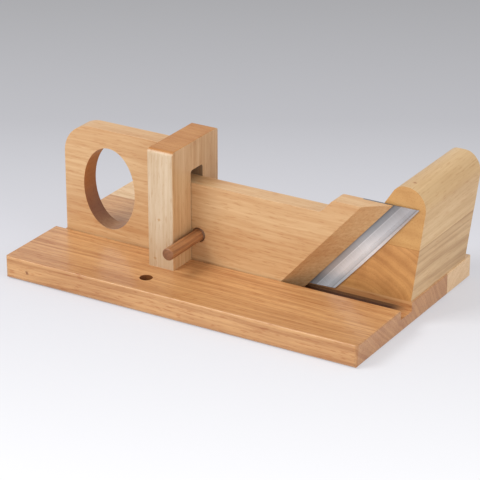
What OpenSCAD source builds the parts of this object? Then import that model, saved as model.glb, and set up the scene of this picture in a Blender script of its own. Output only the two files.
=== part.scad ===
// Wooden meat slicer. A bladed arm slides in a groove along the base, through a yoke, and
// its steel blade shears past the front face of a sloped end block. A dowel locks the arm shut.
// Origin: centre of the base's underside. +X runs towards the end block, +Y to the back, +Z up.

/* [Base] */
// Length of the base along X
base_l = 380; // [360:1:420]
// Depth of the base along Y
base_w = 230; // [220:1:260]
// Thickness of the base
base_t = 23; // [20:0.5:30]
// Width of the back board of the glued-up base
back_board_w = 52; // [40:1:60]
// Radius of the upright corners of the base
base_corner_r = 4; // [2:0.5:8]
// Radius of the lower edges of the base
base_foot_r = 4; // [1:0.5:6]
// Radius of the upper edges of the base
base_rim_r = 1.5; // [0.5:0.5:3]
// Diameter of the hole that parks the dowel
park_d = 12.6; // [12.4:0.1:14]
// Distance of the parking hole in front of the yoke
park_ahead = 25.6; // [20:0.1:34]

/* [Arm] */
// Thickness of the arm
arm_t = 20; // [16:0.5:22]
// Height of the arm's top above the base's top
arm_rise = 78; // [66:1:84]
// Height of the handle end above the base's top
handle_rise = 111.5; // [106:0.5:120]
// Distance of the handle's end from the base's left end
handle_inset = 13.5; // [6:0.5:24]
// Radius of the handle's outer top corner
handle_r = 30; // [20:1:34]
// Radius of the handle's inner top corner, beside the yoke
handle_inner_r = 6; // [2:0.5:10]
// Width of the oval hand hole
hand_w = 58; // [50:1:64]
// Height of the oval hand hole
hand_h = 83; // [74:1:86]
// Wood between the hand hole and the handle's end
hand_margin = 21.6; // [18:0.1:28]
// Height of the hand hole's centre above the base's top
hand_z = 51.7; // [50:0.1:54]
// Height of the blade end above the arm's top
horn_rise = 13.8; // [10:0.1:18]
// Length of the blade end's flat top, back edge
horn_l = 50; // [40:1:70]
// Slope of the rise to the blade end, in degrees
horn_angle = 48; // [35:1:65]
// Radius at the foot of that rise
horn_foot_r = 8; // [4:0.5:12]
// Radius at the head of that rise
horn_head_r = 5; // [3:0.5:10]
// Depth of the groove that the arm runs in
groove_d = 9; // [6:0.5:12]
// Play between the arm and the groove's front wall
groove_front_gap = 1.2; // [0.5:0.1:3]
// Gap under the arm in its groove
arm_lift = 0.3; // [0.2:0.1:1]

/* [Blade] */
// Angle of the blade's edge above the horizontal, in degrees
blade_angle = 48.4; // [44:0.1:52]
// Thickness of the blade
blade_t = 2; // [1.5:0.1:3]
// Width of the blade that shows, square to its edge
blade_show = 20.5; // [16:0.5:26]
// Width of the flat beside the wood, before the ground bevel
blade_flat = 6; // [3:0.5:9]
// Width of the honed bevel at the cutting edge
edge_w = 2.6; // [1.5:0.1:4]
// Thickness of the blade where the honed bevel starts
edge_t = 0.8; // [0.5:0.1:1.2]
// Thickness left at the cutting edge
edge_tip = 0.1; // [0.05:0.05:0.3]
// Radius of the slightly curved cutting edge
edge_r = 1900; // [1200:50:4000]
// Width of the blade that is let into the back of the arm
blade_tang = 23; // [18:1:28]
// Distance that the blade stops above the groove's floor
blade_foot = 5; // [3:0.5:8]
// Wood left beside the blade at the thin end of the arm's bevel
bevel_land = 0.8; // [0.5:0.1:2]
// How far the arm's bevel is hollowed
bevel_hollow = 1; // [0.5:0.1:2]
// Distance of the blade's spine in front of the ramp's foot, along X
blade_lead = 11.8; // [8:0.1:20]

/* [Yoke] */
// Distance of the yoke's left face from the base's left end
yoke_inset = 129; // [120:1:140]
// Thickness of the yoke along X
yoke_t = 27.8; // [22:0.1:34]
// Width of the yoke's front leg along Y
leg_front = 31.8; // [26:0.1:38]
// Width of the yoke's rear leg along Y
leg_rear = 28.3; // [22:0.1:36]
// Height of the yoke above the base's top
yoke_rise = 118; // [112:1:130]
// Headroom of the slot above the arm
slot_head = 12; // [9:0.5:13]
// Play between the arm and the slot, in front
slot_front_gap = 0.7; // [0.4:0.1:1.5]
// Play between the arm and the slot, behind
slot_back_gap = 0.4; // [0.2:0.1:0.7]
// Radius of the slot's upper corners
slot_r = 3; // [1:0.5:5]
// Radius of the yoke's upper corners, front and back
yoke_top_r = 5; // [3:0.5:10]
// Radius of the yoke's eased edges
yoke_ease_r = 1.5; // [0.5:0.5:3]
// Gap between the arm's shoulder and the yoke when the slicer is shut
shoulder_gap = 0.3; // [0.2:0.1:1]

/* [End block] */
// Height of the end block above the base's top
block_rise = 111.4; // [106:0.1:124]
// Length of the end block's foot along X
block_foot = 89.1; // [84:0.1:91]
// Distance of the end block's foot from the base's right end
block_inset = 1.2; // [1:0.1:4]
// Distance of the end block's back from the base's back edge
block_back_inset = 11.8; // [6:0.1:20]
// Angle of the ramp that faces the blade, in degrees
ramp_angle = 57; // [56:0.5:62]
// Radius where the ramp meets the top
ramp_top_r = 14.5; // [10:0.5:17]
// Radius of the outer top edge
outer_top_r = 20; // [14:0.5:22]
// Width of the flat left between the two top radii
block_top_flat = 0.8; // [0.4:0.1:6]
// Height of the glue line above the base's top
glue_rise = 52; // [40:1:64]
// Radius of the end block's back edges
block_back_r = 3; // [1:0.5:6]
// Distance of the end block's front face from the middle of the base, towards the front
shear_y = 9.5; // [6:0.5:16]
// Gap between the arm's back and the end block's front face
shear_gap = 0.8; // [0.4:0.1:1.5]

/* [Lock pin] */
// Diameter of the dowel
pin_d = 12; // [11:0.1:12.2]
// Length of dowel that stands out of the arm
pin_out = 53; // [45:1:70]
// Depth of the dowel's seat in the arm
pin_seat = 1.6; // [1:0.1:1.6]
// Diameter of the dowel's hole in the arm
pin_hole_d = 14.4; // [14.2:0.1:16]
// Wood between the hole and the yoke's right face
pin_hole_gap = 0.4; // [0.2:0.1:2]
// Height of the hole's centre above the base's top
pin_hole_z = 26.6; // [20:0.1:36]
// How far the dowel lies to the left of the hole's centre
pin_left = 0.8; // [0.6:0.05:0.8]
// How far the dowel lies below the hole's centre
pin_low = 0.7; // [0.5:0.05:0.7]
// Chamfer on the dowel's ends
pin_chamfer = 0.8; // [0.4:0.1:1.5]

/* [Screws] */
// Shank diameter of the wood screws in the base
screw_d = 4; // [3.5:0.5:5]
// Head diameter of those screws
screw_head_d = 8; // [7:0.5:10]
// Overall length of those screws
screw_l = 45; // [35:1:50]
// Shank diameter of the blade screws
blade_screw_d = 3; // [2.5:0.1:3.5]
// Head diameter of the blade screws
blade_screw_head_d = 6; // [5:0.1:6.5]
// Overall length of the blade screws
blade_screw_l = 12; // [9:0.5:13]
// Clearance round every screw
screw_gap = 0.1; // [0.05:0.05:0.2]
// Depth that a base screw's head is sunk
screw_sink = 0.6; // [0.4:0.1:1.5]

/* [Hidden] */

// Faces of a round bore or pin, and segments of a quarter turn in an outline
round_n = 72;
arc_n = 14;
// Facets of the long curve of the cutting edge, and how far cutters pass a face
edge_n = 1440;
past = 1;
// Sweep of the cutting edge's long curve that is cut, in degrees
grind_sweep = 16;
// Straight rim of a screw's head, and its cross recess as parts of the head's width and depth
rim_h = 0.3;
recess_span = 0.52;
recess_arm = 0.12;
recess_deep = 0.8;
// Screws under the end block, as parts of its foot and of the front board's width under it
block_screw_left = 0.34;
block_screw_right = 0.2;
block_screw_ahead = 0.35;
// Screws along the blade, as parts of its height, and across its tang
blade_screw_places = [0.2, 0.5, 0.8];
blade_screw_in = 0.62;

// Places along Y: the block's front face, the arm's back and front, the groove and the slot
block_y0 = -shear_y;
arm_y1 = block_y0 - shear_gap;
arm_y0 = arm_y1 - arm_t;
groove_y0 = arm_y0 - groove_front_gap;
slot_y0 = arm_y0 - slot_front_gap;
slot_y1 = arm_y1 + slot_back_gap;
yoke_y0 = slot_y0 - leg_front;
yoke_y1 = slot_y1 + leg_rear;
block_y1 = base_w / 2 - block_back_inset;
seam_y = base_w / 2 - back_board_w;

// Heights
groove_z = base_t - groove_d;
arm_z0 = groove_z + arm_lift;
arm_z1 = base_t + arm_rise;
handle_z = base_t + handle_rise;
horn_z = arm_z1 + horn_rise;
slot_z = arm_z1 + slot_head;
yoke_z = base_t + yoke_rise;
block_z = base_t + block_rise;
glue_z = base_t + glue_rise;

// Places along X
yoke_x0 = -base_l / 2 + yoke_inset;
yoke_x1 = yoke_x0 + yoke_t;
yoke_xm = yoke_x0 + yoke_t / 2;
arm_x0 = -base_l / 2 + handle_inset;
hand_x = arm_x0 + hand_margin + hand_w / 2;
shoulder_x = yoke_x0 - shoulder_gap;
shoulder_r = slot_head - past;
block_x1 = base_l / 2 - block_inset;
ramp_x = block_x1 - block_foot;
spine_x = ramp_x - blade_lead;
horn_x1 = spine_x + (horn_z - base_t) / tan(blade_angle);
horn_x0 = horn_x1 - horn_l;
bevel_depth = arm_t - blade_t - bevel_land;
// Where the foot curve of the rise starts, from the slope between the two curves
horn_straight = (horn_rise - (horn_head_r + horn_foot_r) * (1 - cos(horn_angle)))
                / tan(horn_angle);
horn_foot_x = horn_x0 - (horn_head_r + horn_foot_r) * sin(horn_angle) - horn_straight;

// The dowel and its hole
hole_x = yoke_x1 + pin_hole_gap + pin_hole_d / 2;
hole_z = base_t + pin_hole_z;
pin_x = hole_x - pin_left;
pin_z = hole_z - pin_low;

// Screws: where they stand, as [x, y]
yoke_screw_at = [[yoke_xm, yoke_y0 + leg_front / 2], [yoke_xm, yoke_y1 - leg_rear / 2]];
block_screw_x = [ramp_x + block_foot * block_screw_left, block_x1 - block_foot * block_screw_right];
block_screw_y = [block_y0 + (seam_y - block_y0) * block_screw_ahead, (seam_y + block_y1) / 2];
block_screw_at = [for (x = block_screw_x) for (y = block_screw_y) [x, y]];
blade_h = horn_z - groove_z - blade_foot;
blade_screw_u = [for (k = blade_screw_places)
                 (blade_foot - groove_d + blade_h * k) / sin(blade_angle)];
blade_screw_p = -blade_tang * blade_screw_in;

// Points of an arc about c, from angle a0 to a1, both ends included
function arc(c, r, a0, a1, n = arc_n) =
    [for (i = [0:n]) c + r * [cos(a0 + (a1 - a0) * i / n), sin(a0 + (a1 - a0) * i / n)]];

// Corner points of a rectangle whose lower and upper corners have their own radii
function soft_rect(x0, y0, x1, y1, low, high) = concat(
    arc([x0 + low, y0 + low], low, 180, 270),
    arc([x1 - low, y0 + low], low, 270, 360),
    arc([x1 - high, y1 - high], high, 0, 90),
    arc([x0 + high, y1 - high], high, 90, 180));

// An outline drawn in X and Z, run along Y from y0 to y1
module along_y(points, y0, y1)
    translate([0, y1, 0])
    rotate([90, 0, 0])
    linear_extrude(y1 - y0)
    polygon(points);

// An outline drawn in Y and Z, run along X from x0 to x1
module along_x(points, x0, x1)
    translate([x0, 0, 0])
    rotate([90, 0, 90])
    linear_extrude(x1 - x0)
    polygon(points);

// The blade's own frame: x square to the edge and down to the right, y as Y, z up the blade
module on_blade()
    translate([spine_x, 0, base_t])
    rotate([0, 90 - blade_angle, 0])
    children();

// A countersunk wood screw, head down at z = 0, with a cross recess
module wood_screw(d, head_d, l) {
    head = (head_d - d) / 2;
    span = head_d * recess_span;
    wide = head_d * recess_arm;
    difference() {
        rotate_extrude($fn = round_n)
            polygon([[0, 0], [head_d / 2, 0], [head_d / 2, rim_h], [d / 2, head + rim_h],
                     [d / 2, l - d], [0, l]]);
        for (turn = [0, 90])
            rotate([0, 0, turn])
            translate([-span / 2, -wide / 2, -past])
            cube([span, wide, head * recess_deep + past]);
    }
}

// The hole for such a screw, with its countersink
module screw_hole(d, head_d, l, sink) {
    head = (head_d - d) / 2;
    rotate_extrude($fn = round_n)
        polygon([[0, -past], [head_d / 2 + screw_gap, -past],
                 [head_d / 2 + screw_gap, sink + rim_h],
                 [d / 2 + screw_gap, sink + head + rim_h],
                 [d / 2 + screw_gap, sink + l], [0, sink + l]]);
}

module base_holes() {
    for (at = concat(yoke_screw_at, block_screw_at))
        translate([at[0], at[1], 0])
        screw_hole(screw_d, screw_head_d, screw_l, screw_sink);
}

module base_blank()
    intersection() {
        linear_extrude(base_t)
            polygon(soft_rect(-base_l / 2, -base_w / 2, base_l / 2, base_w / 2,
                              base_corner_r, base_corner_r));
        along_y(soft_rect(-base_l / 2, 0, base_l / 2, base_t, base_foot_r, base_rim_r),
                -base_w / 2, base_w / 2);
        along_x(soft_rect(-base_w / 2, 0, base_w / 2, base_t, base_foot_r, base_rim_r),
                -base_l / 2, base_l / 2);
    }

module base_front_board() color("#c08a55")
    difference() {
        base_blank();
        translate([-base_l, seam_y, -past])
            cube([2 * base_l, base_w, base_t + 2 * past]);
        translate([-base_l, groove_y0, groove_z])
            cube([2 * base_l, block_y0 - groove_y0, base_t]);
        translate([yoke_xm, yoke_y0 - park_ahead, -past])
            cylinder(d = park_d, h = base_t + 2 * past, $fn = round_n);
        base_holes();
    }

module base_back_board() color("#cf9f6d")
    difference() {
        base_blank();
        translate([-base_l, seam_y - base_w, -past])
            cube([2 * base_l, base_w, base_t + 2 * past]);
        base_holes();
    }

module yoke() color("#dcbf95")
    difference() {
        intersection() {
            along_x(soft_rect(yoke_y0, base_t, yoke_y1, yoke_z, 0, yoke_top_r),
                    yoke_x0, yoke_x1);
            along_y(soft_rect(yoke_x0, base_t, yoke_x1, yoke_z, 0, yoke_ease_r),
                    yoke_y0, yoke_y1);
            translate([0, 0, base_t])
                linear_extrude(yoke_rise)
                polygon(soft_rect(yoke_x0, yoke_y0, yoke_x1, yoke_y1, yoke_ease_r, yoke_ease_r));
        }
        along_x(soft_rect(slot_y0, base_t - past, slot_y1, slot_z, 0, slot_r),
                yoke_x0 - past, yoke_x1 + past);
        base_holes();
    }

module yoke_screws() color("silver")
    for (at = yoke_screw_at)
        translate([at[0], at[1], screw_sink])
        wood_screw(screw_d, screw_head_d, screw_l);

// The end block in X and Z: a ramp on the left, two top radii, and a side that leans outwards
module block_blank() {
    left_c = [ramp_x + (ramp_top_r + (block_z - ramp_top_r - base_t) * cos(ramp_angle))
              / sin(ramp_angle), block_z - ramp_top_r];
    right_c = [left_c[0] + block_top_flat, block_z - outer_top_r];
    reach = right_c - [block_x1, base_t];
    lean = atan2(reach[1], reach[0]) - asin(outer_top_r / norm(reach)) - 90;
    outline = concat(
        [[ramp_x, base_t], [block_x1, base_t]],
        arc(right_c, outer_top_r, lean, 90, 2 * arc_n),
        arc(left_c, ramp_top_r, 90, 90 + ramp_angle, 2 * arc_n));
    intersection() {
        along_y(outline, block_y0, block_y1);
        along_x(concat([[block_y0, base_t], [block_y1, base_t]],
                       arc([block_y1 - block_back_r, block_z - block_back_r],
                           block_back_r, 0, 90),
                       [[block_y0, block_z]]),
                ramp_x - past, block_x1 + outer_top_r);
    }
}

module block_lower() color("#d79c5e")
    difference() {
        block_blank();
        translate([0, -base_w, glue_z])
            cube([base_l, 2 * base_w, block_z]);
        base_holes();
    }

module block_upper() color("#dfb478")
    difference() {
        block_blank();
        translate([0, -base_w, glue_z - block_z])
            cube([base_l, 2 * base_w, block_z]);
    }

module block_screws() color("silver")
    for (at = block_screw_at)
        translate([at[0], at[1], screw_sink])
        wood_screw(screw_d, screw_head_d, screw_l);

// The arm in X and Z, from the handle's foot round by the blade end; it runs past the spine
function arm_outline() = concat(
    [[arm_x0, arm_z0], [horn_x1 + past, arm_z0], [horn_x1 + past, horn_z]],
    arc([horn_x0, horn_z - horn_head_r], horn_head_r, 90, 90 + horn_angle),
    arc([horn_foot_x, arm_z1 + horn_foot_r], horn_foot_r, 270 + horn_angle, 270),
    arc([shoulder_x + shoulder_r, arm_z1 + shoulder_r], shoulder_r, 270, 180),
    arc([shoulder_x - handle_inner_r, handle_z - handle_inner_r], handle_inner_r, 0, 90),
    arc([arm_x0 + handle_r, handle_z - handle_r], handle_r, 90, 180, 2 * arc_n));

// Points of the oval hand hole
function oval(w, h, n) = [for (i = [0:n - 1]) [w / 2 * cos(360 * i / n), h / 2 * sin(360 * i / n)]];

// What is cut away at the blade end: a hollowed bevel in front, and all that lies past the spine
module bevel_cut() {
    from = [-bevel_depth, arm_y0];
    to = [0, arm_y1 - blade_t - bevel_land];
    chord = to - from;
    r = (norm(chord) * norm(chord) / 4 + bevel_hollow * bevel_hollow) / (2 * bevel_hollow);
    out = [chord[1], -chord[0]] / norm(chord);
    c = (from + to) / 2 + out * (r - bevel_hollow);
    half = asin(norm(chord) / 2 / r);
    lead = asin(2 * past / r);
    mid = atan2(-out[1], -out[0]);
    on_blade()
        translate([0, 0, -base_l / 2])
        linear_extrude(base_l)
        polygon(concat(arc(c, r, mid + half + lead, mid - half),
                       [[0, arm_y1 + past], [base_l, arm_y1 + past],
                        [base_l, arm_y0 - arm_t], [-bevel_depth, arm_y0 - arm_t]]));
}

// The space that the blade's tang is let into, wider than the blade by gap
module tang_space(gap)
    intersection() {
        on_blade()
            translate([-blade_tang - gap, arm_y1 - blade_t - gap, -base_l / 2])
            cube([blade_tang + blade_show, blade_t + gap + past, base_l]);
        translate([-base_l, -base_w, groove_z + blade_foot - gap])
            cube([2 * base_l, 2 * base_w, base_l]);
    }

// Screws or their holes along the blade's tang, driven from its back
module on_tang()
    for (u = blade_screw_u)
        on_blade()
        translate([blade_screw_p, arm_y1, u])
        rotate([90, 0, 0])
        children();

module arm() color("#dcb27c")
    difference() {
        along_y(arm_outline(), arm_y0, arm_y1);
        translate([hand_x, arm_y1 + past, base_t + hand_z])
            rotate([90, 0, 0])
            linear_extrude(arm_t + 2 * past)
            polygon(oval(hand_w, hand_h, round_n));
        bevel_cut();
        tang_space(screw_gap);
        translate([hole_x, arm_y1 + past, hole_z])
            rotate([90, 0, 0])
            cylinder(d = pin_hole_d, h = arm_t + 2 * past, $fn = round_n);
        on_tang()
            screw_hole(blade_screw_d, blade_screw_head_d, blade_screw_l, 0);
    }

// Behind this curve lies the blade; in front of it the two bevels are ground away
module grind()
    on_blade()
    translate([blade_show - edge_r, 0, blade_h / 2 / sin(blade_angle)])
    rotate([90, 0, 0])
    translate([0, 0, -arm_y1])
    rotate([0, 0, -grind_sweep / 2])
    rotate_extrude(angle = grind_sweep, $fn = edge_n)
        polygon([[edge_r - blade_show + blade_flat, blade_t],
                 [edge_r - edge_w, edge_t],
                 [edge_r, edge_tip],
                 [edge_r, -past],
                 [edge_r + blade_show, -past],
                 [edge_r + blade_show, blade_t + past],
                 [edge_r - blade_show + blade_flat, blade_t + past]]);

module blade() color("gainsboro")
    difference() {
        intersection() {
            on_blade()
                translate([-blade_tang, arm_y1 - blade_t, -base_l / 2])
                cube([blade_tang + blade_show, blade_t, base_l]);
            translate([-base_l, -base_w, groove_z + blade_foot])
                cube([2 * base_l, 2 * base_w, blade_h]);
        }
        grind();
        on_tang()
            screw_hole(blade_screw_d, blade_screw_head_d, blade_screw_l, 0);
    }

module blade_screws() color("silver")
    on_tang()
        wood_screw(blade_screw_d, blade_screw_head_d, blade_screw_l);

module lock_pin() color("#9c6a42")
    translate([pin_x, arm_y0 + pin_seat, pin_z])
    rotate([90, 0, 0])
    rotate_extrude($fn = round_n)
        polygon([[0, 0], [pin_d / 2 - pin_chamfer, 0], [pin_d / 2, pin_chamfer],
                 [pin_d / 2, pin_out + pin_seat - pin_chamfer],
                 [pin_d / 2 - pin_chamfer, pin_out + pin_seat], [0, pin_out + pin_seat]]);

base_front_board();
base_back_board();
yoke();
yoke_screws();
block_lower();
block_upper();
block_screws();
arm();
blade();
blade_screws();
lock_pin();
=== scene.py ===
# %% [markdown]
# # A slicer for dried meat, in wood and steel
#
# The object is a hand tool. An arm with a hand hole and a slanted steel blade slides in a
# groove along a thick base, through a wooden yoke, and past the front of a sloped end block
# that holds the meat. A dowel locks it shut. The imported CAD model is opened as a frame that
# stays as it is. The wooden pieces are copied from it and get eased rims, and every surface
# gets a material made of nodes.

import math

import bmesh
import bpy
from mathutils import Euler, Matrix, Vector


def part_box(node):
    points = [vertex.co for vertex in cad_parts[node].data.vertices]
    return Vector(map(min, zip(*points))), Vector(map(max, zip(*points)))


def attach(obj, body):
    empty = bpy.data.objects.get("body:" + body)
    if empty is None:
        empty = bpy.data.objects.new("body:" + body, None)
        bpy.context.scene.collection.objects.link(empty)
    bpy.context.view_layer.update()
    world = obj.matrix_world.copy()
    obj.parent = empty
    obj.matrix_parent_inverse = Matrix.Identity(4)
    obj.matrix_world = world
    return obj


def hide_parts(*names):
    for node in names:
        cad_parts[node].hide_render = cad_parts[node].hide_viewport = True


for start_name in ("Cube", "Light", "Camera"):
    start_object = bpy.data.objects.get(start_name)
    if start_object is not None:
        bpy.data.objects.remove(start_object)

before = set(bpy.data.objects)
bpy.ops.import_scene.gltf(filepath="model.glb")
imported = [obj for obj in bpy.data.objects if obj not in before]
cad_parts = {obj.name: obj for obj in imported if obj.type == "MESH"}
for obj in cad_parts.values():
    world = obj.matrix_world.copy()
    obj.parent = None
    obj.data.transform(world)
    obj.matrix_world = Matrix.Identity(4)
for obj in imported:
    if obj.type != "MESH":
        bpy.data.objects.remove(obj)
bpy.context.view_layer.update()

# %% [markdown]
# ## Camera
#
# The photograph looks down on the slicer from the front right, through a long lens, so that
# its long edges hardly draw together. A camera could be set by eye, but then every proportion
# is a guess. This one comes from matching measured edges of the photograph to the model's own
# edges, which gave its turn, its tilt, its distance and the lens.

# %% Set up the camera
TURN = math.radians(30.901)
TILT = math.radians(23.618)
LENS_MM = 175.01
SENSOR_MM = 36
DISTANCE = 2.2285
AIM_RIGHT = 0.001587
AIM_UP = 0.035338

right = Vector((math.cos(TURN), math.sin(TURN), 0))
level = Vector((-math.sin(TURN), math.cos(TURN), 0))
ahead = level * math.cos(TILT) - Vector((0, 0, math.sin(TILT)))
up = right.cross(ahead)

camera = bpy.data.objects.new("camera", bpy.data.cameras.new("camera"))
bpy.context.scene.collection.objects.link(camera)
bpy.context.scene.camera = camera
camera.data.sensor_width = SENSOR_MM
camera.data.lens = LENS_MM
stand = Matrix((right, up, -ahead)).transposed().to_4x4()
stand.translation = right * AIM_RIGHT + up * AIM_UP - ahead * DISTANCE
camera.matrix_world = stand
bpy.context.scene.view_settings.view_transform = "Standard"
print("camera stands at, m:", [round(v, 3) for v in stand.translation])

# %% [markdown]
# ## Small helpers for nodes
#
# A material is a tree of nodes. In the editor each node is placed and wired by hand, and in a
# script that takes many lines. These helpers add a node, give it its settings and wire it in
# one call, so that the cells below read like a recipe.


# %% Write colours as a screen shows them
def shade(red, green, blue):
    """A screen colour, 0 to 255, as the linear values that Blender mixes."""
    parts = [value / 255 for value in (red, green, blue)]
    return (*[v / 12.92 if v <= 0.04045 else ((v + 0.055) / 1.055) ** 2.4 for v in parts], 1.0)


print("a screen's 128 is", round(shade(128, 128, 128)[0], 3), "in linear light")


# %% Add a node with its settings and links
def add(tree, kind, inputs=None, **settings):
    """A new node: first its settings, then a link or a plain value for each input."""
    node = tree.nodes.new(kind)
    for name, value in settings.items():
        setattr(node, name, value)
    for key, value in (inputs or {}).items():
        if isinstance(value, bpy.types.NodeSocket):
            tree.links.new(value, node.inputs[key])
        else:
            node.inputs[key].default_value = value
    return node


# %% Do sums, rescale values and mix colours
def reckon(tree, operation, *values, clamp=False):
    """One step of arithmetic."""
    wired = dict(enumerate(values))
    return add(tree, "ShaderNodeMath", wired, operation=operation, use_clamp=clamp).outputs[0]


def rescale(tree, value, start, end, low=0.0, high=1.0):
    """Turns start to end into low to high, with soft ends."""
    wired = {0: value, 1: start, 2: end, 3: low, 4: high}
    return add(tree, "ShaderNodeMapRange", wired, interpolation_type="SMOOTHSTEP").outputs[0]


def mixed(tree, share, one, other, way="MIX"):
    """Two colours in one, by a share from 0 to 1."""
    wired = {0: share, 6: one, 7: other}
    return add(tree, "ShaderNodeMix", wired, data_type="RGBA", blend_type=way).outputs[2]


# %% Run colours along a value
def graded(tree, value, stops):
    """A colour ramp with (position, colour) stops, given from low to high."""
    node = add(tree, "ShaderNodeValToRGB", {0: value})
    elements = node.color_ramp.elements
    elements[0].position, elements[0].color = stops[0]
    elements[1].position, elements[1].color = stops[-1]
    for position, colour in stops[1:-1]:
        elements.new(position).color = colour
    return node.outputs[0]


# %% Start a material or a finished object
def new_material(name):
    """An empty material and its node tree."""
    material = bpy.data.materials.new(name)
    material.use_nodes = True
    material.node_tree.nodes.clear()
    return material, material.node_tree


def finished(name, shape, material):
    """Makes a bmesh an object at the origin, in one material."""
    mesh = bpy.data.meshes.new(name)
    shape.to_mesh(mesh)
    shape.free()
    mesh.materials.append(material)
    made = bpy.data.objects.new(name, mesh)
    bpy.context.scene.collection.objects.link(made)
    return made


# %% [markdown]
# ## Studio
#
# The photograph has a plain sweep of paper behind the slicer: near white in front, lavender
# grey far behind. Brighter lamps would also wash out the wood, so the paper gets its tone from
# its own colour. Rays that see it directly, or in a reflection, take about half of that tone
# as light of its own. The other half still takes the slicer's shadow.


# %% Tell the rays that see a surface directly
def seen_directly(tree):
    """1 for rays from the camera, from a reflection or through glass, and otherwise 0."""
    path = add(tree, "ShaderNodeLightPath").outputs
    seen = reckon(tree, "ADD", path["Is Camera Ray"], path["Is Glossy Ray"], clamp=True)
    return reckon(tree, "ADD", seen, path["Is Transmission Ray"], clamp=True)


# %% Light the room evenly
ROOM_LIGHT = 0.55
room = bpy.data.worlds.new("room")
bpy.context.scene.world = room
room.use_nodes = True
room.node_tree.nodes.clear()
even_light = add(room.node_tree, "ShaderNodeBackground", {"Strength": ROOM_LIGHT})
even_light.inputs["Color"].default_value = (1, 1, 1, 1)
far_wall = add(room.node_tree, "ShaderNodeBackground", {"Color": shade(225, 225, 230)})
wall_mix = {0: seen_directly(room.node_tree), 1: even_light.outputs[0], 2: far_wall.outputs[0]}
wall = add(room.node_tree, "ShaderNodeMixShader", wall_mix)
add(room.node_tree, "ShaderNodeOutputWorld", {"Surface": wall.outputs[0]})
print("the room lights every side at", ROOM_LIGHT)

# %% Colour the paper by its distance
PAPER_NEAR = -0.40
PAPER_FAR = 0.90
PAPER_OWN_LIGHT = 0.55
paper, tree = new_material("pale paper")
place = add(tree, "ShaderNodeTexCoord").outputs["Object"]
dot = add(tree, "ShaderNodeVectorMath", {0: place, 1: level}, operation="DOT_PRODUCT")
far = add(tree, "ShaderNodeMapRange", {0: dot.outputs["Value"], 1: PAPER_NEAR, 2: PAPER_FAR})
paper_stops = [
    (0.0, shade(247, 247, 250)),
    (0.377, shade(221, 221, 227)),
    (0.634, shade(193, 193, 198)),
    (1.0, shade(175, 175, 178)),
]
paper_tone = graded(tree, far.outputs[0], paper_stops)
matt = add(tree, "ShaderNodeBsdfDiffuse", {"Color": paper_tone})
glow = add(tree, "ShaderNodeEmission", {"Color": paper_tone})
own_share = reckon(tree, "MULTIPLY", seen_directly(tree), PAPER_OWN_LIGHT)
paper_mix = add(tree, "ShaderNodeMixShader", {0: own_share, 1: matt.outputs[0], 2: glow.outputs[0]})
add(tree, "ShaderNodeOutputMaterial", {"Surface": paper_mix.outputs[0]})

# %% Lay the paper
PAPER_HALF = 6.0
PAPER_DROP = 0.0003
sheet = bmesh.new()
bmesh.ops.create_grid(sheet, x_segments=2, y_segments=2, size=PAPER_HALF)
bmesh.ops.translate(sheet, verts=sheet.verts, vec=(0, 0, -PAPER_DROP))
floor = finished("floor", sheet, paper)
print("floor is", 2 * PAPER_HALF, "m wide")

# %% [markdown]
# ## Lamps
#
# Soft light with hardly a shadow comes from large lamps. One stands high at the front left
# and shapes the wood, and a weaker one at the right keeps the end grain and the block's side
# readable. Small lamps would draw hard dark shadows that the photograph doesn't have.

# %% Hang the two lamps
LIT_POINT = Vector((0, 0, 0.06))


def softbox(name, spot, width, height, watts):
    """A large soft lamp that faces the slicer and isn't seen itself."""
    lamp = bpy.data.lights.new(name, "AREA")
    lamp.shape = "RECTANGLE"
    lamp.size, lamp.size_y, lamp.energy = width, height, watts
    hung = bpy.data.objects.new(name, lamp)
    hung.location = spot
    hung.rotation_euler = (LIT_POINT - Vector(spot)).to_track_quat("-Z", "Y").to_euler()
    hung.visible_camera = False
    bpy.context.scene.collection.objects.link(hung)
    print(name, "gives", watts, "W from", round((LIT_POINT - Vector(spot)).length, 2), "m")


softbox("key_lamp", (-0.9, -1.3, 1.7), 1.2, 0.9, 32)
softbox("side_lamp", (2.0, -0.6, 0.9), 1.5, 1.5, 17)

# %% [markdown]
# ## Wood
#
# Sawn wood is one solid pattern cut open: the same year rings show as stripes along a board
# and as arcs on its end. A picture of a plank, laid on each side, can't do that. So the
# pattern here fills space. A position is turned until x runs along the grain, with the pith,
# which is the middle of the log, at y = z = 0. Its distance from the pith gives the rings, and
# long thin noise gives the streaks and the pores. All of it is one node group that each piece
# of wood uses with its own colours.


# %% Start a node group
def group(name, inputs, outputs):
    """A node group with named sockets: its tree, what it is given and what it puts out."""
    tree = bpy.data.node_groups.new(name, "ShaderNodeTree")
    for label, kind in inputs:
        tree.interface.new_socket(name=label, in_out="INPUT", socket_type="NodeSocket" + kind)
    for label, kind in outputs:
        tree.interface.new_socket(name=label, in_out="OUTPUT", socket_type="NodeSocket" + kind)
    return tree, add(tree, "NodeGroupInput").outputs, add(tree, "NodeGroupOutput").inputs


# %% Stretch noise along the grain
def cloud(tree, place, along, across, detail=2.0):
    """Noise with its own count to the metre along the grain and across it."""
    stretch = (along, across, across)
    sized = add(tree, "ShaderNodeVectorMath", {0: place, 1: stretch}, operation="MULTIPLY")
    wired = {"Vector": sized.outputs[0], "Scale": 1.0, "Detail": detail}
    return add(tree, "ShaderNodeTexNoise", wired)


# %% Open the wood's group
sawn, given, wanted = group(
    "solid wood",
    [
        ("Vector", "Vector"),
        ("Light", "Color"),
        ("Dark", "Color"),
        ("End", "Color"),
        ("End mask", "Float"),
        ("Ring gap", "Float"),
        ("Rings", "Float"),
        ("Streaks", "Float"),
        ("Pores", "Float"),
    ],
    [("Color", "Color"), ("Roughness", "Float"), ("Height", "Float")],
)
print("solid wood takes", len(sawn.nodes[0].outputs) - 1, "values")

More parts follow.
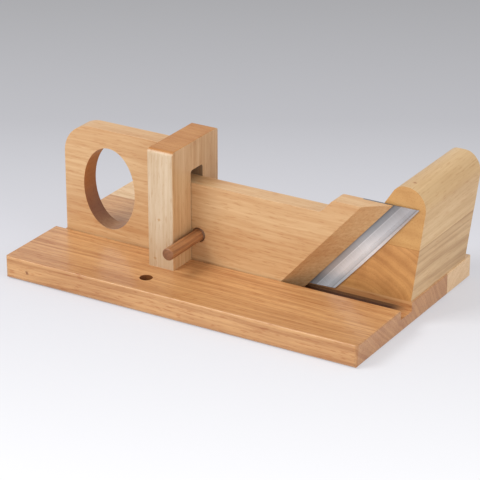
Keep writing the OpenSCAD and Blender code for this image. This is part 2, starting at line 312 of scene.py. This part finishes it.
# %% Let the grain wander
def bent_by(place, along, across, amount):
    """Pushes a position sideways by soft noise."""
    push = cloud(sawn, place, along, across, 1.0).outputs[1]
    middle = {0: push, 1: (0.5, 0.5, 0.5)}
    offset = add(sawn, "ShaderNodeVectorMath", middle, operation="SUBTRACT").outputs[0]
    wired = {0: offset, 1: (0.0, amount, amount), 2: place}
    return add(sawn, "ShaderNodeVectorMath", wired, operation="MULTIPLY_ADD").outputs[0]


bent = bent_by(bent_by(given["Vector"], 2.5, 9.0, 0.016), 8.0, 45.0, 0.005)

# %% Grow the year rings
flat = add(sawn, "ShaderNodeVectorMath", {0: bent, 1: (0.0, 1.0, 1.0)}, operation="MULTIPLY")
length = add(sawn, "ShaderNodeVectorMath", {0: flat.outputs[0]}, operation="LENGTH")
year = reckon(sawn, "DIVIDE", length.outputs["Value"], given["Ring gap"])
years = add(sawn, "ShaderNodeTexNoise", noise_dimensions="1D")
sawn.links.new(year, years.inputs["W"])
years.inputs["Scale"].default_value = 1.0
years.inputs["Detail"].default_value = 3.0
bands = rescale(sawn, years.outputs[0], 0.3, 0.7, -0.5, 0.5)
ring_part = reckon(sawn, "MULTIPLY", bands, given["Rings"])

# %% Draw streaks, pores and soft patches
fine = rescale(sawn, cloud(sawn, bent, 14, 480, 3.0).outputs[0], 0.3, 0.7, -0.5, 0.5)
along_grain = reckon(sawn, "MULTIPLY_ADD", given["End mask"], -0.7, 1.0)
calmed = reckon(sawn, "MULTIPLY", fine, along_grain)
streak_part = reckon(sawn, "MULTIPLY", calmed, given["Streaks"])
patches = rescale(sawn, cloud(sawn, bent, 9, 40, 3.0).outputs[0], 0.3, 0.7, -0.22, 0.22)
dots = rescale(sawn, cloud(sawn, bent, 90, 800).outputs[0], 0.55, 0.70)
pore_mask = reckon(sawn, "MULTIPLY", dots, given["Pores"])

# %% Put the wood's colour together
PORE_TINT = (0.74, 0.52, 0.36, 1)
lines = reckon(sawn, "ADD", ring_part, streak_part)
uneven = reckon(sawn, "ADD", lines, patches)
darkness = reckon(sawn, "ADD", uneven, 0.5, clamp=True)
board_tone = mixed(sawn, darkness, given["Light"], given["Dark"])
pored = mixed(sawn, pore_mask, board_tone, PORE_TINT, "MULTIPLY")
with_ends = mixed(sawn, given["End mask"], pored, given["End"], "MULTIPLY")
sawn.links.new(with_ends, wanted["Color"])

# %% Give the wood its sheen and its relief
sheen = reckon(sawn, "MULTIPLY_ADD", darkness, 0.08, 0.44)
sawn.links.new(reckon(sawn, "MULTIPLY_ADD", pore_mask, 0.12, sheen), wanted["Roughness"])
grooves = reckon(sawn, "MULTIPLY_ADD", darkness, -0.3, 1.0)
sawn.links.new(reckon(sawn, "SUBTRACT", grooves, pore_mask), wanted["Height"])
print("solid wood has", len(sawn.nodes), "nodes")

# %% [markdown]
# ## Marks in the wood, and painted shade
#
# Real boards have accidents: a dark speck, a glue line, a band that took the oil more deeply.
# They could be painted on an image, but that would need one for each piece. A few masks do it
# here: a band fades in along one axis, a line is thin, a spot is round with a ragged edge, and
# the direction that a surface faces picks out one side. Masks that are multiplied narrow each
# other down, to a groove's floor or a hole's wall, and each tint darkens the wood inside them.
# Those darker floors and walls, and the yoke's slot, are painted shade where little light
# reaches, not marks in the wood.

# %% Mask a thin line
line_group, given, wanted = group(
    "thin line",
    [("Value", "Float"), ("At", "Float"), ("Half width", "Float")],
    [("Mask", "Float")],
)
away = reckon(line_group, "ABSOLUTE", reckon(line_group, "SUBTRACT", given["Value"], given["At"]))
core = reckon(line_group, "MULTIPLY", given["Half width"], 0.3)
line_group.links.new(rescale(line_group, away, given["Half width"], core), wanted["Mask"])

# %% Mask a ragged spot
spot_group, given, wanted = group(
    "ragged spot",
    [("Vector", "Vector"), ("Centre", "Vector"), ("Size", "Float")],
    [("Mask", "Float")],
)
apart = add(spot_group, "ShaderNodeVectorMath", {0: given["Vector"], 1: given["Centre"]})
apart.operation = "DISTANCE"
speckle = cloud(spot_group, given["Vector"], 700, 700).outputs[0]
ragged = rescale(spot_group, speckle, 0.3, 0.7, 0.6, 1.4)
reach = reckon(spot_group, "MULTIPLY", apart.outputs["Value"], ragged)
core = reckon(spot_group, "MULTIPLY", given["Size"], 0.35)
spot_group.links.new(rescale(spot_group, reach, given["Size"], core), wanted["Mask"])


# %% Pick a part of a piece by its place
def coordinate(tree, place, axis):
    """One coordinate of a point on the slicer."""
    return add(tree, "ShaderNodeSeparateXYZ", {0: place["Object"]}).outputs[axis]


def band(tree, place, axis, start, end):
    """Fades in from start to end along one axis."""
    return rescale(tree, coordinate(tree, place, axis), start, end)


def within(tree, place, axis, low, high):
    """1 between two values of one axis."""
    offset = reckon(tree, "SUBTRACT", coordinate(tree, place, axis), (low + high) / 2)
    half = (high - low) / 2
    return rescale(tree, reckon(tree, "ABSOLUTE", offset), 1.1 * half, 0.9 * half)


# %% Pick a line, a spot or a face
def line(tree, place, axis, at, half_width):
    """A thin line at one height, depth or length."""
    wired = {"Value": coordinate(tree, place, axis), "At": at, "Half width": half_width}
    return add(tree, "ShaderNodeGroup", wired, node_tree=line_group).outputs[0]


def spot(tree, place, centre, size):
    """A round speck with a ragged edge."""
    wired = {"Vector": place["Object"], "Centre": centre, "Size": size}
    return add(tree, "ShaderNodeGroup", wired, node_tree=spot_group).outputs[0]


def facing(tree, place, axis, off=0.5, on=0.9):
    """1 where the surface faces along an axis, either way. With off above on, 1 elsewhere."""
    normal = add(tree, "ShaderNodeSeparateXYZ", {0: place["Normal"]}).outputs[axis]
    return rescale(tree, reckon(tree, "ABSOLUTE", normal), off, on)


# %% [markdown]
# ## One piece of wood
#
# Each piece is cut from its own log, so it needs its own grain direction, place in the log and
# colours. The end grain drinks more oil and looks darker, and it is found by the angle between
# the surface and the grain. The relief stays very low, as on sanded wood. The dried oil is a
# thin clear coat, and the base, which is polished most, gets more of it than the rest.

# %% Make a wood material
GRAIN_TURNS = {"x": (0, 0, 0), "y": (0, 0, -math.pi / 2), "z": (0, math.pi / 2, 0)}
OIL_ROUGHNESS = 0.2
RELIEF = 0.00025


def wood(name, grain, pith, light, dark, end, figure, marks=(), oil=0.15):
    """Wood with its grain along one axis, the middle of its log at pith, and its own figure."""
    material, tree = new_material(name)
    place = add(tree, "ShaderNodeTexCoord").outputs
    turn = GRAIN_TURNS[grain]
    shift = -(Euler(turn).to_matrix() @ Vector(pith))
    wired = {"Vector": place["Object"], "Rotation": turn, "Location": shift}
    in_log = add(tree, "ShaderNodeMapping", wired).outputs[0]
    end_mask = facing(tree, place, "xyz".index(grain), 0.45, 0.9)
    wired = {"Vector": in_log, "Light": light, "Dark": dark, "End": (*end, 1), "End mask": end_mask}
    cut = add(tree, "ShaderNodeGroup", {**wired, **figure}, node_tree=sawn)
    colour = cut.outputs["Color"]
    # Each mark multiplies its tint in: real specks, bands and glue lines, and also painted shade on
    # groove floors and hole walls.
    for tint, *masks in marks:
        share = 1.0
        for mask, *facts in masks:
            share = reckon(tree, "MULTIPLY", mask(tree, place, *facts), share)
        colour = mixed(tree, share, colour, (*tint, 1), "MULTIPLY")
    wired = {"Height": cut.outputs["Height"], "Strength": 0.35, "Distance": RELIEF}
    relief = add(tree, "ShaderNodeBump", wired).outputs[0]
    wired = {"Base Color": colour, "Roughness": cut.outputs["Roughness"], "Normal": relief}
    coat = {"Coat Weight": oil, "Coat Roughness": OIL_ROUGHNESS}
    finish = add(tree, "ShaderNodeBsdfPrincipled", {**wired, **coat})
    add(tree, "ShaderNodeOutputMaterial", {"Surface": finish.outputs[0]})
    print(name, "has its grain along", grain)
    return material


# %% [markdown]
# ## Eased rims
#
# A joiner takes the sharp corners off with fine paper, and each rim then catches a thin line
# of light. The large round edges are in the CAD model already, and the small ones are made
# here. A Bevel modifier on everything would also open the glued seams, so the frame's loose
# triangles are copied and merged, flat faces are joined, and only outward corners that lie in
# named planes are beveled. The copy then stands for the CAD node.

# %% Find the rims of a piece
NEAR = 2e-5
SHARP = math.radians(50)


def lies_in(edge, axis, value):
    """Whether an edge lies in the plane at one value of one axis."""
    return all(abs(corner.co[axis] - value) < NEAR for corner in edge.verts)


def is_rim(edge, planes, glued, sharp):
    """Whether an edge is a sharp outward corner in one of the planes, and in no glued face."""
    if not edge.is_manifold or not edge.is_convex or edge.calc_face_angle() < sharp:
        return False
    wanted_here = planes is None or any(lies_in(edge, *plane) for plane in planes)
    return wanted_here and not any(lies_in(edge, *plane) for plane in glued)


# %% Merge a copy of a CAD node
WELD = 1e-6
SAME_PLANE = math.radians(0.5)


def merged_copy(node):
    """The node's triangles as one closed shape with whole flat faces."""
    shape = bmesh.new()
    shape.from_mesh(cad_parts[node].data)
    bmesh.ops.remove_doubles(shape, verts=shape.verts, dist=WELD)
    bmesh.ops.dissolve_limit(shape, angle_limit=SAME_PLANE, verts=shape.verts, edges=shape.edges)
    return shape


# %% Ease the rims and take the node's place
CREASE = math.radians(35)


def eased(node, name, body, slot, material, width, planes=None, glued=(), sharp=SHARP, spare=None):
    """A copy of a CAD piece with eased rims, which stands for it and rides on its body."""
    shape = merged_copy(node)
    rims = [e for e in shape.edges if is_rim(e, planes, glued, sharp) and not (spare and spare(e))]
    curve = {"segments": 3, "profile": 0.5, "affect": "EDGES", "material": -1}
    bmesh.ops.bevel(shape, geom=rims, offset=width, offset_type="OFFSET", clamp_overlap=True, **curve)
    for face in shape.faces:
        face.smooth = True
    for edge in shape.edges:
        edge.smooth = edge.is_manifold and edge.calc_face_angle() < CREASE
    open_edges = sum(not edge.is_manifold for edge in shape.edges)
    litres = shape.calc_volume() * 1000
    print(name, len(rims), "rims eased,", open_edges, "open edges,", round(litres, 4), "litres")
    piece = finished(name, shape, material)
    piece.modifiers.new("even_shading", "WEIGHTED_NORMAL").keep_sharp = True
    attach(piece, body)
    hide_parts(node)


# %% [markdown]
# ## Base
#
# The base is glued up from two boards, and the change of end grain at the right end gives the
# seam away. One board with a drawn line would show the same rings on both sides of the seam,
# so the boards are two pieces from two logs. The front board is a warm orange brown with a
# darker band along its front edge, and the narrow back board is paler.

# %% Measure the base
base_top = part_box("base_front_board")[1].z
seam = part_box("base_back_board")[0].y
front_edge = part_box("base_front_board")[0].y
print("base top, seam, front edge, m:", *[round(v, 4) for v in (base_top, seam, front_edge)])

# %% Find the groove that the arm runs in
ARM_PLAY = 0.0012
ARM_LIFT = 0.0003
PAST = 0.0004
arm_low, arm_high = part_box("arm")
groove = (arm_low.y - ARM_PLAY - PAST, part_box("block_lower")[0].y + PAST)
groove_floor = arm_low.z - ARM_LIFT
print("groove's sides and floor, m:", *[round(v, 4) for v in (*groove, groove_floor)])

# %% Make the two boards' wood
PARK_HOLE = ((0, -0.0541, -0.0401), (1, -0.0954, -0.0814))
front_board_wood = wood(
    "oiled front board",
    grain="x",
    pith=(0, -0.28, -0.22),
    light=shade(214, 163, 108),
    dark=shade(178, 122, 72),
    end=(0.80, 0.74, 0.70),
    figure={"Ring gap": 0.004, "Rings": 0.45, "Streaks": 0.5, "Pores": 0.65},
    marks=[
        ((0.86, 0.80, 0.74), (band, 1, -0.075, -0.112), (facing, 2)),
        ((0.72, 0.62, 0.50), (line, 1, seam, 0.0005)),
        ((0.45, 0.33, 0.25), (spot, (-0.1651, front_edge, 0.0110), 0.0022)),
        # Painted shade: the groove's floor and the foot of its walls are painted nearly black where
        # its walls and the arm shade them, fading out towards both open ends, where light comes in.
        (
            (0.10, 0.06, 0.04),
            (within, 1, *groove),
            (within, 2, groove_floor - PAST, groove_floor + 0.0025),
            (band, 0, 0.188, 0.168),
            (band, 0, -0.188, -0.168),
        ),
        # Painted shade: the park hole's wall is darkened, as shade falls inside the hole.
        (
            (0.42, 0.28, 0.18),
            (within, *PARK_HOLE[0]),
            (within, *PARK_HOLE[1]),
            (facing, 2, 0.7, 0.3),
        ),
    ],
    oil=0.4,
)
back_board_wood = wood(
    "oiled back board",
    grain="x",
    pith=(0, 0.16, -0.12),
    light=shade(236, 200, 155),
    dark=shade(214, 175, 127),
    end=(0.98, 0.98, 0.98),
    figure={"Ring gap": 0.005, "Rings": 0.4, "Streaks": 0.5, "Pores": 0.5},
    marks=[((0.72, 0.62, 0.50), (line, 1, seam, 0.0005))],
    oil=0.4,
)

# %% Ease the two boards
BOARD_RIM = 0.0006
board = {"slot": "base_wood", "width": BOARD_RIM, "planes": [(2, base_top)], "glued": [(1, seam)]}
eased("base_front_board", "front_board", "base", material=front_board_wood, **board)
eased("base_back_board", "back_board", "base", material=back_board_wood, **board)

# %% [markdown]
# ## Yoke
#
# The yoke is an upside-down U of pale wood with its grain upright, so its top is end grain and
# drinks in more oil. It is cut out of one board here. Its rounded outer corners come from the
# CAD model, and only the rims of its slot are eased. The log's middle lies far behind the
# front face, which is why the front shows a flame figure and the right side straight lines.

# %% Make the yoke
SLOT_TOP = 0.113
SLOT_PLAY = 0.0007
yoke_low, yoke_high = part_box("yoke")
yoke_wood = wood(
    "pale yoke wood",
    grain="z",
    pith=((yoke_low.x + yoke_high.x) / 2, 0.20, 0),
    light=shade(215, 193, 164),
    dark=shade(190, 156, 115),
    end=(0.81, 0.47, 0.17),
    figure={"Ring gap": 0.005, "Rings": 0.35, "Streaks": 0.35, "Pores": 0.4},
    marks=[
        # Partly painted shade and partly the wood's own tone: the sides facing along x are painted
        # browner and darker, because less light falls on them and because a face cut along the rays
        # takes more oil.
        ((0.94, 0.78, 0.60), (facing, 0)),
        ((0.84, 0.68, 0.50), (spot, (-0.0485, yoke_low.y, 0.0716), 0.0018)),
        ((0.84, 0.68, 0.50), (spot, (-0.0536, yoke_low.y, 0.0316), 0.0018)),
        # Painted shade: the slot's inner walls are painted dark brown where the yoke's legs and the
        # arm keep the light out.
        (
            (0.36, 0.25, 0.17),
            (within, 1, arm_low.y - SLOT_PLAY - PAST, arm_high.y + SLOT_PLAY),
            (within, 2, base_top, SLOT_TOP + PAST),
            (facing, 0, 0.7, 0.3),
        ),
    ],
)
yoke_sides = [(0, yoke_low.x), (0, yoke_high.x)]
eased("yoke", "yoke_wood", "base", "yoke_wood", yoke_wood, 0.0007, yoke_sides, [(2, base_top)])

# %% [markdown]
# ## End block
#
# The block that holds the meat is glued from two thick pieces, with the grain running from
# front to back. Its front is therefore end grain: the lower piece shows the arcs of its rings,
# and the upper one is plainer and lighter. The level glue line between them is a thin darker
# line, and it stays closed, because rims that lie in it aren't eased.

# %% Make the block's two kinds of wood
block_low, glue_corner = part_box("block_lower")
glue_line = ((0.75, 0.62, 0.45), (line, 2, glue_corner.z, 0.0004))
foot_wood = wood(
    "ringed block foot",
    grain="y",
    pith=(0.13, 0, -0.02),
    light=shade(214, 179, 130),
    dark=shade(178, 138, 92),
    end=(0.98, 0.74, 0.50),
    figure={"Ring gap": 0.006, "Rings": 0.45, "Streaks": 0.3, "Pores": 0.35},
    marks=[glue_line],
)
cap_wood = wood(
    "golden block cap",
    grain="y",
    pith=(0.20, 0, -0.10),
    light=shade(218, 184, 135),
    dark=shade(194, 154, 103),
    end=(0.92, 0.75, 0.52),
    figure={"Ring gap": 0.007, "Rings": 0.3, "Streaks": 0.3, "Pores": 0.35},
    marks=[glue_line, ((0.66, 0.46, 0.32), (spot, (0.1825, 0.0035, 0.134), 0.0022))],
)

# %% Ease the block
block_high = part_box("block_upper")[1]
block = {"slot": "block_wood", "width": 0.0006, "planes": [(1, block_low.y), (1, block_high.y)]}
block["glued"] = [(2, base_top), (2, glue_corner.z)]
eased("block_lower", "block_foot", "base", material=foot_wood, **block)
eased("block_upper", "block_cap", "base", material=cap_wood, **block)

# %% [markdown]
# ## Arm
#
# The arm is one board with its grain along it: light tan with fine orange streaks. Its rims
# are eased all round, in the hand hole too, because a hand slides along them. The space that
# the blade is let into stays sharp, so that steel and wood meet without a groove.

# %% Find the blade's line
BLADE_ANGLE = math.radians(48.4)
TANG = 0.023
TANG_GAP = 0.0001
blade_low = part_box("blade")[0]
spine = Vector((blade_low.x + TANG / math.sin(BLADE_ANGLE), 0, blade_low.z))
across = Vector((math.sin(BLADE_ANGLE), 0, -math.cos(BLADE_ANGLE)))
print("the blade leaves the wood at, m:", [round(v, 4) for v in spine])


# %% Tell which rims border the blade
def borders_blade(edge):
    """Whether an edge belongs to the space that the blade is let into."""
    middle = (edge.verts[0].co + edge.verts[1].co) / 2
    beside = abs((middle - spine).dot(across) + TANG + TANG_GAP) < 4 * TANG_GAP
    return beside or abs(middle.z - blade_low.z + TANG_GAP) < 4 * TANG_GAP


# %% Make the arm
HAND_HOLE = ((0, -0.157, -0.095), (2, 0.031, 0.118))
hole_wall = [(within, *HAND_HOLE[0]), (within, *HAND_HOLE[1]), (facing, 1, 0.7, 0.3)]
arm_wood = wood(
    "tan arm wood",
    grain="x",
    pith=(0, -0.02, -0.25),
    light=shade(220, 182, 134),
    dark=shade(198, 148, 98),
    end=(0.88, 0.64, 0.38),
    figure={"Ring gap": 0.005, "Rings": 0.25, "Streaks": 0.5, "Pores": 0.45},
    marks=[
        # Painted shade: the whole wall of the hand hole is darkened.
        ((0.82, 0.68, 0.52), *hole_wall),
        # More painted shade, darker towards the bottom of the hand hole, near the base.
        ((0.55, 0.50, 0.45), *hole_wall, (band, 2, 0.080, 0.040)),
    ],
)
arm_faces = [(1, arm_low.y), (1, arm_high.y)]
arm = {"slot": "arm_wood", "width": 0.0008, "planes": arm_faces, "spare": borders_blade}
eased("arm", "arm_wood", "slider", material=arm_wood, **arm)

# %% [markdown]
# ## Dowel
#
# The lock pin is a length of turned dowel in a darker, redder wood. It is a plain round rod,
# so its life comes from the grain along it, the dark rings on its end and its two softened
# chamfers. Those are shallow corners, so a lower angle is asked for here.

# %% Make the dowel
pin_low, pin_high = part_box("lock_pin")
pin_wood = wood(
    "brown dowel wood",
    grain="y",
    pith=((pin_low.x + pin_high.x) / 2 + 0.003, 0, pin_low.z),
    light=shade(170, 116, 72),
    dark=shade(124, 78, 45),
    end=(0.80, 0.74, 0.70),
    figure={"Ring gap": 0.0016, "Rings": 0.4, "Streaks": 0.6, "Pores": 0.5},
)
dowel = {"slot": "pin_wood", "width": 0.0003, "sharp": math.radians(40)}
eased("lock_pin", "dowel", "lock_dowel", material=pin_wood, **dowel)

# %% [markdown]
# ## Blade
#
# The blade is a strip of satin steel. Beside the wood it is flat, then comes a wide ground
# bevel, and last a narrow honed edge. Those three faces are real in the CAD model, so the mesh
# stays as it is. Its material reads how far a point lies across the blade and changes tone,
# gloss and grinding marks there. The tones are painted reflection and highlight: a darker flat,
# a bright line where the flat meets the bevel, a broad bright band on the bevel, a dark line
# before the edge and a honed edge painted bright, and along the blade a tone that is lighter in
# the middle and darker and browner near its top. Steel shows what it reflects, here mostly brown
# wood, and a share of plain grey with little metal keeps it as light as it looks, which is
# painted light too.

# %% Start the ground steel
ground, given, wanted = group(
    "ground steel",
    [("Vector", "Vector"), ("Width", "Float"), ("Back", "Float")],
    [("Color", "Color"), ("Roughness", "Float"), ("Metallic", "Float"), ("Height", "Float")],
)
split = add(ground, "ShaderNodeSeparateXYZ", {0: given["Vector"]}).outputs
share = reckon(ground, "DIVIDE", split[0], given["Width"], clamp=True)


def grey(value):
    """A slightly cool grey."""
    return (0.87 * value, 0.93 * value, value, 1)


def plain(value):
    """One value as a ramp's colour."""
    return (value, value, value, 1)


# %% Tone the flat, the bevel and the edge
flat_end, bevel_end = 6.0 / 20.5, 17.9 / 20.5
# Painted reflection and highlight across the blade: dark beside the wood, a painted highlight line
# where the flat ends, a broad painted reflection on the bevel, a dark line before the edge and a
# honed edge painted bright.
tones = [
    (0.0, grey(0.30)),
    (0.10, grey(0.48)),
    (flat_end - 0.03, grey(0.56)),
    (flat_end, grey(0.96)),
    (flat_end + 0.04, grey(0.80)),
    (0.60, grey(0.96)),
    (bevel_end - 0.06, grey(0.78)),
    (bevel_end - 0.02, grey(0.60)),
    (bevel_end + 0.01, grey(1.0)),
    (1.0, grey(1.0)),
]
front_tone = graded(ground, share, tones)

# %% Shade the steel from end to end
BLADE_LENGTH = 0.128
along = reckon(ground, "DIVIDE", split[2], BLADE_LENGTH, clamp=True)
# Painted reflection along the blade: a little darker at its foot, lightest in the middle, and darker
# and browner near its top, where it reflects the wood.
reflection_along = [(0.0, plain(0.95)), (0.18, plain(1.0)), (0.60, plain(1.0)), (1.0, (0.52, 0.47, 0.45, 1))]
front_shaded = mixed(ground, 1.0, front_tone, graded(ground, along, reflection_along), "MULTIPLY")
plain_back = mixed(ground, given["Back"], front_shaded, grey(0.5))

# %% Add the grinding marks
stretch = (80, 80, 2600)
sized = add(ground, "ShaderNodeVectorMath", {0: given["Vector"], 1: stretch}, operation="MULTIPLY")
marks = add(ground, "ShaderNodeTexNoise", {"Vector": sized.outputs[0], "Scale": 1.0}).outputs[0]
soft = cloud(ground, given["Vector"], 30, 14, 1.0).outputs[0]
shift = rescale(ground, reckon(ground, "ADD", marks, soft), 0.6, 1.4, 0.88, 1.08)
grain_grey = add(ground, "ShaderNodeCombineXYZ", {0: shift, 1: shift, 2: shift}).outputs[0]
ground.links.new(mixed(ground, 1.0, plain_back, grain_grey, "MULTIPLY"), wanted["Color"])
ground.links.new(marks, wanted["Height"])

# %% Gloss and share of metal across the blade
gloss = [(0.0, 0.30), (flat_end, 0.30), (flat_end + 0.03, 0.36), (bevel_end, 0.22)]
metal = [(0.0, 0.45), (flat_end, 0.40), (flat_end + 0.03, 0.35), (bevel_end, 0.30)]
gloss, metal = ([(at, plain(value)) for at, value in stops] for stops in (gloss, metal))
ground.links.new(graded(ground, share, gloss), wanted["Roughness"])
ground.links.new(graded(ground, share, metal), wanted["Metallic"])
print("ground steel has", len(ground.nodes), "nodes")

# %% Lay the ground steel along the blade
BLADE_SHOWS = 0.0205
blade_steel, tree = new_material("ground blade steel")
place = add(tree, "ShaderNodeTexCoord").outputs
turn = (0, BLADE_ANGLE - math.pi / 2, 0)
shift = -(Euler(turn).to_matrix() @ spine)
wired = {"Vector": place["Object"], "Rotation": turn, "Location": shift}
on_blade = add(tree, "ShaderNodeMapping", wired).outputs[0]
behind = rescale(tree, add(tree, "ShaderNodeSeparateXYZ", {0: place["Normal"]}).outputs[1], 0.3, 0.7)
wired = {"Vector": on_blade, "Width": BLADE_SHOWS, "Back": behind}
steel = add(tree, "ShaderNodeGroup", wired, node_tree=ground).outputs
wired = {"Height": steel["Height"], "Strength": 0.15, "Distance": 0.00005}
relief = add(tree, "ShaderNodeBump", wired).outputs[0]
wired = {"Base Color": steel["Color"], "Roughness": steel["Roughness"]}
wired.update({"Metallic": steel["Metallic"], "Normal": relief})
finish = add(tree, "ShaderNodeBsdfPrincipled", wired)
add(tree, "ShaderNodeOutputMaterial", {"Surface": finish.outputs[0]})


# %% Put it on the blade
def dressed(node, material):
    """Gives a CAD node that keeps its shape a finer material."""
    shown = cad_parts[node]
    if not shown.material_slots:
        shown.data.materials.append(material)
    for held in shown.material_slots:
        held.material = material
    print(node, "keeps its shape and gets", material.name)


dressed("blade", blade_steel)

# %% [markdown]
# ## Screws
#
# Wood screws hold the yoke and the block from under the base, and three small ones hold the
# blade from behind. They are zinc plated, which is a soft grey with faint cloudy patches. Their
# shapes, with cross recesses, come from the CAD model, and one plain material serves all nine.

# %% Make the plated steel
screw_steel, tree = new_material("plated screw steel")
place = add(tree, "ShaderNodeTexCoord").outputs["Object"]
cloudy = rescale(tree, cloud(tree, place, 500, 500).outputs[0], 0.3, 0.7)
plate_tone = mixed(tree, cloudy, grey(0.48), grey(0.66))
dull = reckon(tree, "MULTIPLY_ADD", cloudy, 0.12, 0.30)
wired = {"Base Color": plate_tone, "Roughness": dull, "Metallic": 0.9}
finish = add(tree, "ShaderNodeBsdfPrincipled", wired)
add(tree, "ShaderNodeOutputMaterial", {"Surface": finish.outputs[0]})
for screws in ("yoke_screws", "block_screws", "blade_screws"):
    dressed(screws, screw_steel)
